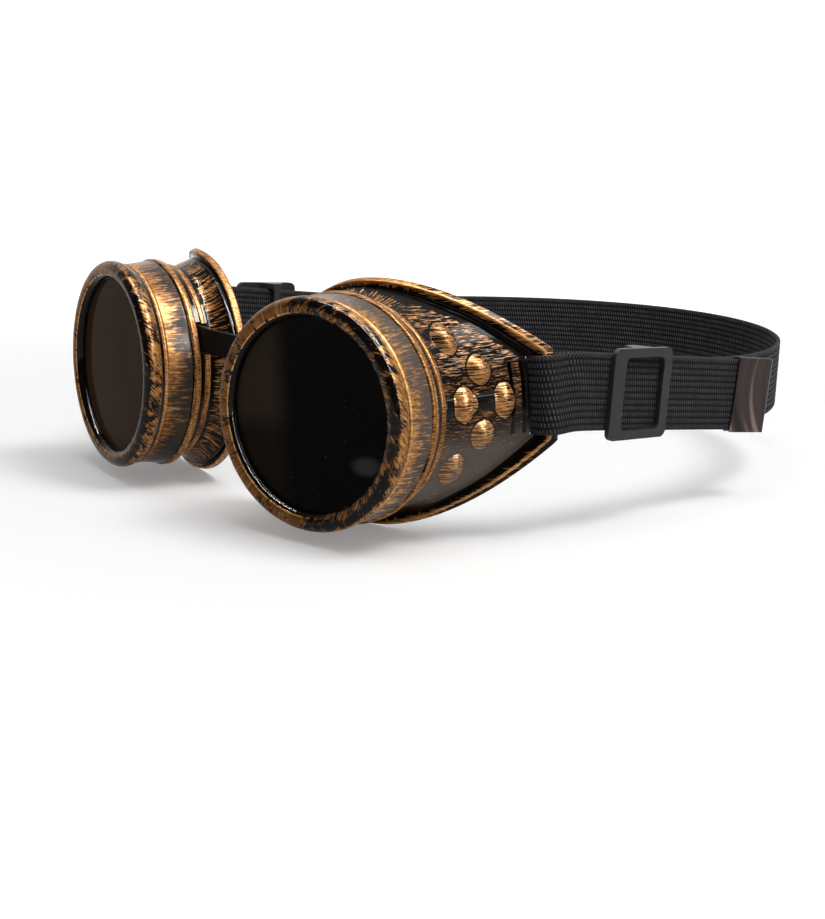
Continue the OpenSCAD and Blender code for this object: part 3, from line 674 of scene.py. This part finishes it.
def dome_places():
    """Where each dome sits, as depth and angle, and half its length."""
    t = (GROUP_D - FOOT_D) / (BORDER_D - FOOT_D)
    angle = math.asin(DOME_RISE / shell_point(t, 0)[0])
    run = DOME_RUN * math.cos(SLOPE)
    return [(SINGLE_D, SINGLE_ANGLE, DOME_L), (SINGLE_D, -SINGLE_ANGLE, DOME_L), (GROUP_D, angle, ROUND_L),
            (GROUP_D, -angle, ROUND_L), (GROUP_D - run, 0.0, DOME_L), (GROUP_D + run, 0.0, DOME_L)]


def dome_reach(a, half_l):
    """Radius of a dome's footprint, which is where two circles overlap, in the direction a."""
    bow = (half_l ** 2 + DOME_W ** 2) / (2 * DOME_W)
    off = bow - DOME_W
    return math.sqrt(bow ** 2 - (off * math.sin(a)) ** 2) - off * abs(math.cos(a))


def dome(name, place):
    d, phi, half_l = place
    steps, rows = 64, 14
    spots = [(1.0, -WALL / 2)] + [(1 - (i / rows) ** 1.35, None) for i in range(rows)]
    points = []
    for s, z in spots:
        z = DOME_H * (1 - s ** 2.2) if z is None else z
        for j in range(steps):
            a = 2 * math.pi * j / steps
            r = s * dome_reach(a, half_l)
            points.append((r * math.cos(a), r * math.sin(a), z))
    points.append((0, 0, DOME_H))
    faces = [tuple(reversed(range(steps)))]
    for i in range(len(spots) - 1):
        for j in range(steps):
            k = (j + 1) % steps
            faces.append((i * steps + j, i * steps + k, (i + 1) * steps + k, (i + 1) * steps + j))
    top = (len(spots) - 1) * steps
    faces += [(top + j, top + (j + 1) % steps, len(points) - 1) for j in range(steps)]
    o = mesh_object(name, points, faces)
    o.data.transform(on_shell(d, phi))
    return o


def rod(name):
    """A half-round rod from the rear ring to the last dome."""
    radius = (ROD_W ** 2 + ROD_H ** 2) / (2 * ROD_H)
    half = math.asin(ROD_W / radius)
    section = [(ROD_W, -WALL / 2), (-ROD_W, -WALL / 2)]
    for i in range(-12, 13):
        a = half * i / 12
        section.append((radius * math.sin(a), radius * (math.cos(a) - 1) + ROD_H))
    front = -(GROUP_D - NECK_D + 0.6) / math.cos(SLOPE)
    stations = [front + (DOME_RUN - front) * i / 24 for i in range(25)]
    m = len(section)
    points = [(x, y, z) for x in stations for y, z in section]
    faces = [(i * m + j, i * m + (j + 1) % m, (i + 1) * m + (j + 1) % m, (i + 1) * m + j)
             for i in range(24) for j in range(m)]
    faces += [tuple(reversed(range(m))), tuple(range(24 * m, 25 * m))]
    o = mesh_object(name, points, faces)
    o.data.transform(on_shell(GROUP_D, 0.0))
    return outward(o)


def cup_matrix(side):
    """From the cup's own frame, +Z back, +X to the temple and +Y down, into the row frame in metres."""
    down = [-c for c in CUP_V]
    m = Matrix((*zip(CUP_U, down, CUP_D, (EYE_X / MM, -SETBACK / MM, 0)), (0, 0, 0, 1)))
    return Matrix.Scale(MM, 4) @ Matrix.Diagonal((side, 1, 1, 1)) @ m


def finish_skin(o, matrix, angle):
    """Places a skin, welds it and marks its sharp edges."""
    o.data.transform(matrix)
    bm = bmesh.new()
    bm.from_mesh(o.data)
    bmesh.ops.remove_doubles(bm, verts=bm.verts, dist=4e-6)
    bmesh.ops.dissolve_degenerate(bm, dist=1e-6, edges=bm.edges)
    bmesh.ops.recalc_face_normals(bm, faces=bm.faces)
    shade(bm, math.radians(angle))
    bm.to_mesh(o.data)
    bm.free()
    return o


def cup_skin(side, sign):
    steps = 288
    sections = []
    for i in range(steps):
        phi = 2 * math.pi * i / steps
        sections.append([(r * math.cos(phi), -r * math.sin(phi), d) for r, d in shell_section(phi)])
    shell = closed_loft(side + "_cup_skin", sections)
    core = NECK_R - 0.8
    collar = turned("collar", [(BORE_R, THREAD_D), (THREAD_R, THREAD_D), (THREAD_R, COLLAR_D)]
                    + rounded_ring(COLLAR_R, COLLAR_D, COLLAR_W)
                    + [(core, COLLAR_D + COLLAR_W), (core, NECK_D), (BORE_R, NECK_D)])
    # between the two rings the skin is filled up to skin_r, as the photograph shows one ridge there
    skin_r, deep_r, mid_d = NECK_R + 0.75, NECK_R - RING_SHIFT - 0.7, COLLAR_D + COLLAR_W / 2
    rear = turned("rear_ring", [(deep_r, mid_d), (skin_r, mid_d), (skin_r, RING_D)]
                  + rounded_ring(RING_R, RING_D, RING_W) + [(deep_r, NECK_D)], shift=RING_SHIFT)
    extras = [collar, rear]
    extras += [dome("dome%d" % i, place) for i, place in enumerate(dome_places())]
    extras.append(rod("rod"))
    combine_solids(shell, extras, "UNION")
    cutters = []
    for k, (length, width) in enumerate(SLOTS):
        cutter = block("slot%d" % k, (-width / 2, -length / 2, -2 * WALL), (width, length, 4 * WALL))
        cutter.data.transform(on_shell(SLOT_D - k * SLOT_STEP * math.cos(SLOPE), 0.0))
        cutters.append(cutter)
    notch_d = COLLAR_D + COLLAR_W + 0.1
    turn = Matrix.Rotation(TILT, 4, "Z")
    reach = 10
    notch = block("notch", (-(NECK_R - RING_SHIFT - 0.4) - reach, -NOTCH_W / 2, notch_d),
                  (reach, NOTCH_W, NECK_D - notch_d + 0.6))
    notch.data.transform(turn @ Matrix.Rotation(math.asin(NOTCH_V / RING_R), 4, "Z"))
    way_w = NOTCH_W - 1.0
    way = block("way", (-COLLAR_R, -NOTCH_V - way_w / 2, notch_d + 0.05), (COLLAR_R / 2, way_w, 2.4))
    way.data.transform(turn)
    combine_solids(shell, cutters + [notch, way], "DIFFERENCE")
    mark_zones(shell)
    return finish_skin(shell, cup_matrix(sign), 34.0)


def mark_zones(o):
    """Writes, for each vertex, where it lies: past the border, on a dome, on the flange, and how deep."""
    places = [(on_shell(d, phi).inverted(), half_l) for d, phi, half_l in dome_places()]
    layer = o.data.attributes.new("zone", "FLOAT_VECTOR", "POINT")
    deep = o.data.attributes.new("depth", "FLOAT_VECTOR", "POINT")
    for vertex in o.data.vertices:
        p = vertex.co
        r, phi = math.hypot(p.x, p.y), math.atan2(-p.y, p.x)
        r_in, d_in = border(phi)
        past = r - r_in
        share_of_dome = 2.0
        for inverse, half_l in places:
            q = inverse @ p
            if abs(q.z) < 4:
                edge = dome_reach(math.atan2(q.y, q.x), half_l)
                share_of_dome = min(share_of_dome, math.hypot(q.x, q.y) / edge)
        layer.data[vertex.index].vector = (past, share_of_dome, past / (outline_r(phi) - r_in))
        t = min(max((p.z - FOOT_D) / (d_in - FOOT_D), 0), 1)
        deep.data[vertex.index].vector = (r - shell_point(t, phi)[0], p.z - d_in, 0)


def rounded_ring(r, d, w):
    """The outer line of a ring from its front foot to its rear foot, with rounded shoulders."""
    out = []
    c = 0.62
    for k in range(7):
        a = math.radians(90 * k / 6)
        out.append((r - c + c * math.sin(a), d + c - c * math.cos(a)))
    for k in range(7):
        a = math.radians(90 * k / 6)
        out.append((r - c + c * math.cos(a), d + w - c + c * math.sin(a)))
    return out


def bezel_skin(side, sign):
    """The turned bezel with a finely stepped roll, a rounded lip and softened edges."""
    roll_r, mid, roll_d = 2.5, 26.5, 2.0
    roll = [(mid + roll_r * math.cos(math.radians(a)), roll_d - roll_r * math.sin(math.radians(a)))
            for a in range(180, -43, -5)]
    lip_r, lip_d, back_r, back_d = 27.9, 5.3, 28.8, 12.9
    lip = []
    for k in range(9):
        a = math.radians(-60 + 150 * k / 8)
        lip.append((lip_r - 0.28 + 0.55 * math.cos(a), lip_d + 0.35 + 0.55 * math.sin(a) * 0.9))
    band = [(lip_r + 0.02, lip_d + 1.0), (lip_r + 0.35, lip_d + 3.6), (back_r - 0.05, back_d - 0.55)]
    end = [(back_r - 0.35 + 0.35 * math.cos(math.radians(a)), back_d - 0.35 + 0.35 * math.sin(math.radians(a)))
           for a in (10, 30, 50, 70, 90)]
    inside = [(26.08, back_d), (26.08, 5.9), (25.3, 5.9), (25.3, 2.19), (24.0, 2.19)]
    o = turned(side + "_bezel_skin", roll + lip + band + end + inside, steps=288)
    return finish_skin(o, cup_matrix(sign), 34.0)


def line_z(y):
    return SLOT.z + RISE - (y - SLOT.y) * math.tan(FALL)


def on_line(x, y):
    return Vector((x, y, line_z(y)))


def slot_line(s):
    return cup_point(SLOT_U + s * math.cos(SLOPE), SLOT_D - s * math.sin(SLOPE))


def strap_route():
    bend = STRAP_T / 2 + 0.3
    tail_dir = Vector((math.sin(TAIL_LEAN), math.cos(TAIL_LEAN) * math.cos(FALL),
                       -math.cos(TAIL_LEAN) * math.sin(FALL)))
    corners = [
        on_line(OUTER_X, 0) + TAIL_L * tail_dir,
        on_line(OUTER_X, 0),
        on_line(OUTER_X, JOIN_Y + 6),
        on_line(OUTER_X, JOIN_Y - 4),
        cup_point(TEMPLE_REACH + bend + 0.3, TEMPLE_D + 2),
        cup_point(TEMPLE_REACH + bend + 0.3, TEMPLE_D - LIP + 0.1),
        cup_point(TEMPLE_REACH, TEMPLE_D - LIP - bend - 0.5),
        slot_line(2.4),
        slot_line(0),
        slot_line(-3.4),
        cup_point(BORDER_U - 2 - bend - 0.2, TEMPLE_D + 1.4),
        on_line(INNER_X, JOIN_Y - 2),
        on_line(INNER_X, JOIN_Y + 6),
        on_line(INNER_X, 0)]

    def cut(p):
        out = [p[0]]
        for a, b in zip(p, p[1:]):
            out += [a.lerp(b, 0.25), a.lerp(b, 0.75)]
        return out + [p[-1]]

    def loop_point(a):
        fall = 2 * (1 - (1 - math.sin(a)) ** 4)
        return Vector((INNER_X * math.cos(a), LOOP_L * math.sin(a), line_z(0) - fall))

    half = cut(cut(corners))
    steps = 20
    half += [loop_point(math.radians(90 * i / steps)) for i in range(1, steps)]
    back = [Vector((-p.x, p.y, p.z)) for p in reversed(half)]
    return half + [loop_point(math.pi / 2)] + back


def resample(points, step):
    """Points a near-even step apart on the same line, with its own corners kept."""
    out = []
    for a, b in zip(points, points[1:]):
        n = max(1, round((b - a).length / step))
        out += [a.lerp(b, i / n) for i in range(n)]
    return out + [points[-1]]


def smoothed(points, passes):
    for _ in range(passes):
        points = [points[0]] + [
            a * 0.25 + b * 0.5 + c * 0.25 for a, b, c in zip(points, points[1:], points[2:])] + [points[-1]]
    return points


def strap_mesh():
    route = smoothed(resample(strap_route(), 0.8), 5)
    n = len(route)
    cup_up = Vector(CUP_V)
    ribs = 12
    per_rib = 6
    profile = []
    half_w, half_t = STRAP_W / 2, STRAP_T / 2
    groove = 0.10
    for k in range(ribs * per_rib + 1):
        share = k / (ribs * per_rib)
        within = (share * ribs) % 1.0 if k < ribs * per_rib else 0.0
        bulge = abs(math.sin(math.pi * within)) ** 0.55
        edge = min(share, 1 - share) * 2 * half_w
        thin = half_t - groove * (1 - bulge)
        if edge < 0.35:
            thin = half_t * math.sqrt(max(0.12, 1 - ((0.35 - edge) / 0.35) ** 2)) - groove * 0.6
        profile.append((half_w - share * 2 * half_w, thin, share))
    front = [(w, th, s) for w, th, s in profile]
    back = [(w, -th, s) for w, th, s in reversed(profile)]
    section = front + back
    m = len(section)
    points, uvs = [], []
    run = 0.0
    for i, p in enumerate(route):
        a, b = route[max(i - 1, 0)], route[min(i + 1, n - 1)]
        if i:
            run += (p - route[i - 1]).length
        direction = unit(b - a)
        near = Vector((abs(p.x), p.y)) - Vector((SLOT.x, SLOT.y))
        w = min(max(1.6 - near.length / 12, 0), 1)
        up = Vector((math.copysign(1, p.x) * cup_up.x * w, cup_up.y * w, cup_up.z * w + 1 - w))
        up = unit(up - direction * up.dot(direction))
        out = up.cross(direction)
        for across, off, share in section:
            points.append((p + up * across + out * off) / 1000)
            uvs.append((run / 1000, share))
    faces = []
    for i in range(n - 1):
        for j in range(m):
            a, b = i * m + j, i * m + (j + 1) % m
            faces.append((a, a + m, b + m, b))
    faces.append(tuple(range(m)))
    faces.append(tuple(reversed(range((n - 1) * m, n * m))))
    o = mesh_object("head_strap_elastic", points, faces)
    layer = o.data.uv_layers.new(name="strap")
    for loop in o.data.loops:
        layer.data[loop.index].uv = uvs[loop.vertex_index]
    return outward(o), run


SIDES = (("left", 1), ("right", -1))
# painted reflection: the same dark glass on both sides; the right lens is given a brown colour where the left
# is near black, and each gets a brown cast
LENS_LOOKS = {"left": ((0.0013, 0.0012, 0.0014, 1), (0.026, 0.0170, 0.0100, 1), 0.02),
              "right": ((0.043, 0.023, 0.0115, 1), (0.038, 0.020, 0.0100, 1), 0.006)}
black_rubber = plastic("bridge_rubber", (0.0028, 0.0019, 0.0015, 1), 0.5, 2500.0, 0.00003, 0.05)
matt_black = plastic("slider_plastic", (0.016, 0.016, 0.019, 1), 0.42, 5000.0, 0.00003, 0.2)
seal_black = plastic("seal_rubber", (0.02, 0.02, 0.02, 1), 0.6, 3000.0, 0.00003, 0.3)
elastic = webbing("elastic_webbing")
tip_look = tip_metal("tip_metal")
clear_look = clear_plastic("clear_lens")

for side, sign in SIDES:
    cup = cup_skin(side, sign)
    stand_for(cup, side + "_cup", cup_paint(side + "_cup_paint", sign))
    bezel = bezel_skin(side, sign)
    stand_for(bezel, side + "_bezel", bezel_paint(side + "_bezel_paint", sign))
    set_material(NODES[side + "_dark_lens"], lens_material(side + "_lens", sign, *LENS_LOOKS[side]))
    set_material(NODES[side + "_clear_lens"], clear_look)
    set_material(NODES[side + "_seal_ring"], seal_black)
    slider = dressed_copy(side + "_strap_slider", 32.0, 0.0003)
    stand_for(slider, side + "_strap_slider", matt_black)
    tip = dressed_copy(side + "_strap_tip", 32.0, 0.0002)
    stand_for(tip, side + "_strap_tip", tip_look)

strap, strap_length = strap_mesh()
set_material(strap, elastic)
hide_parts("head_strap")
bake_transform(strap)

bridge = dressed_copy("nose_bridge", 50.0, 0.0003)
set_material(bridge, black_rubber)
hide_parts("nose_bridge")
cutter = bmesh.new()
cutter.from_mesh(bridge.data)
for i in range(1, 30):
    x = -0.03 + 0.002 * i
    bmesh.ops.bisect_plane(cutter, geom=cutter.verts[:] + cutter.edges[:] + cutter.faces[:],
                           plane_co=(x, 0, 0), plane_no=(1, 0, 0))
cutter.to_mesh(bridge.data)
cutter.free()
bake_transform(bridge)


# ---------------------------------------------------------------- floor, light and camera
def seen_share(t, rays):
    """1 for the rays that show the studio: the camera's own, mirrored ones and those through glass."""
    seen = t.math("MAXIMUM", rays["Is Camera Ray"], rays["Is Glossy Ray"])
    return t.math("MAXIMUM", seen, rays["Is Transmission Ray"])


FLOOR_Z = cad_bounds[0][2] - 0.0003


def studio():
    mesh = bpy.data.meshes.new("studio_floor")
    size, back, radius = 3.0, 1.6, 0.5
    rows = [(-size, FLOOR_Z)]
    rows += [(back - radius + radius * math.sin(a), FLOOR_Z + radius - radius * math.cos(a))
             for a in [math.radians(10 * i) for i in range(10)]]
    rows.append((back, FLOOR_Z + size))
    turn = Matrix.Rotation(math.radians(46), 4, "Z")
    points = [turn @ Vector((x, y, z)) for y, z in rows for x in (-size, size)]
    faces = [(2 * i, 2 * i + 1, 2 * i + 3, 2 * i + 2) for i in range(len(rows) - 1)]
    mesh.from_pydata(points, [], faces)
    mesh.polygons.foreach_set("use_smooth", [True] * len(mesh.polygons))
    floor = bpy.data.objects.new("studio_floor", mesh)
    bpy.context.scene.collection.objects.link(floor)
    material, t, shader = new_material("studio_paper")
    place = t.add("ShaderNodeTexCoord").outputs["Object"]
    grain = t.noise(place, 60.0, 2.0)
    t.feed(shader.inputs["Base Color"], t.mix(grain, (0.84, 0.84, 0.84, 1), (0.86, 0.86, 0.86, 1)))
    shader.inputs["Roughness"].default_value = 0.9
    shader.inputs["Specular IOR Level"].default_value = 0.1
    # the paper shows white away from the object, and keeps its shadow near it
    seen = seen_share(t, t.add("ShaderNodeLightPath").outputs)
    away = t.band(t.vector("LENGTH", place), 0.12, 0.75, 0.22, 0.9)
    shader.inputs["Emission Color"].default_value = (1, 1, 1, 1)
    t.feed(shader.inputs["Emission Strength"], t.math("MULTIPLY", seen, away))
    mesh.materials.append(material)


def area_light(name, place, target, size, power, along=None, mirrored_only=False):
    """A rectangle of light that faces the target, its first side along the direction along."""
    data = bpy.data.lights.new(name, "AREA")
    data.shape = "RECTANGLE"
    data.size, data.size_y = size
    data.energy = power
    o = bpy.data.objects.new(name, data)
    z = (Vector(place) - Vector(target)).normalized()
    x = Vector(along) if along else Vector((0, 0, 1)).cross(z)
    x = (x - z * x.dot(z)).normalized()
    o.matrix_world = Matrix((*zip(x, z.cross(x), z, place), (0, 0, 0, 1)))
    o.visible_diffuse = not mirrored_only
    bpy.context.scene.collection.objects.link(o)


def world():
    """Plain light all round. The camera sees it white; mirrors see it white behind and dark in front."""
    w = bpy.data.worlds.new("studio")
    bpy.context.scene.world = w
    w.use_nodes = True
    t = Tree(w.node_tree)
    w.node_tree.nodes.clear()
    out = t.add("ShaderNodeOutputWorld")
    light = t.add("ShaderNodeBackground")
    light.inputs["Color"].default_value = (1, 1, 1, 1)
    light.inputs["Strength"].default_value = 0.26
    room = t.add("ShaderNodeBackground")
    direction = t.add("ShaderNodeTexCoord").outputs["Generated"]
    ahead = t.vector("DOT_PRODUCT", direction, (0.35, -0.93, 0.1))
    room.inputs["Strength"].default_value = 1.0
    mix = t.add("ShaderNodeMixShader")
    rays = t.add("ShaderNodeLightPath").outputs
    grey = t.math("MAXIMUM", t.band(ahead, -0.35, 0.45, 1.0, 0.10), rays["Is Camera Ray"])
    t.feed(room.inputs["Color"], t.combine(grey, grey, grey))
    t.feed(mix.inputs[0], seen_share(t, rays))
    t.tree.links.new(light.outputs[0], mix.inputs[1])
    t.tree.links.new(room.outputs[0], mix.inputs[2])
    t.tree.links.new(mix.outputs[0], out.inputs[0])


def camera():
    azimuth, elevation, roll = math.radians(46.38), math.radians(12.67), math.radians(2.31)
    target, distance = Vector((0.0818, -0.115, -0.0034)), 0.3554
    back = Vector((math.cos(elevation) * math.sin(azimuth), -math.cos(elevation) * math.cos(azimuth),
                   math.sin(elevation)))
    across = Vector((math.cos(azimuth), math.sin(azimuth), 0))
    up = back.cross(across)
    x = across * math.cos(roll) + up * math.sin(roll)
    y = back.cross(x)
    data = bpy.data.cameras.new("camera")
    data.sensor_fit = "AUTO"
    data.sensor_width = 36
    data.lens = 61.75
    data.clip_start = 0.01
    o = bpy.data.objects.new("camera", data)
    place = target + back * distance
    o.matrix_world = Matrix((
        (x.x, y.x, back.x, place.x), (x.y, y.y, back.y, place.y), (x.z, y.z, back.z, place.z), (0, 0, 0, 1)))
    bpy.context.scene.collection.objects.link(o)
    bpy.context.scene.camera = o


studio()
area_light("overhead", (0.15, -0.10, 1.1), (0.03, -0.05, 0), (0.7, 0.7), 4.0)
area_light("window", (0.51, 0.21, 1.03), (0.07, -0.08, 0), (0.42, 0.42), 6.0)
area_light("ceiling_tube", (0.35, -0.27, 1.05), (0.05, -0.10, 0), (2.2, 0.012), 46.0, (1, 0, 0), True)
area_light("second_tube", (0.35, -0.40, 1.02), (0.05, -0.10, 0), (2.2, 0.008), 20.0, (1, 0, 0), True)
area_light("window_pane", (0.51, 0.20, 1.02), (0.07, -0.08, 0), (0.46, 0.20), 24.0, (1, 0, 0), True)
area_light("side_tube", (1.35, -0.25, 0.35), (0.06, -0.10, 0), (1.2, 0.012), 18.0, (0, 0, 1), True)
world()
camera()
bpy.context.scene.view_settings.view_transform = "Standard"
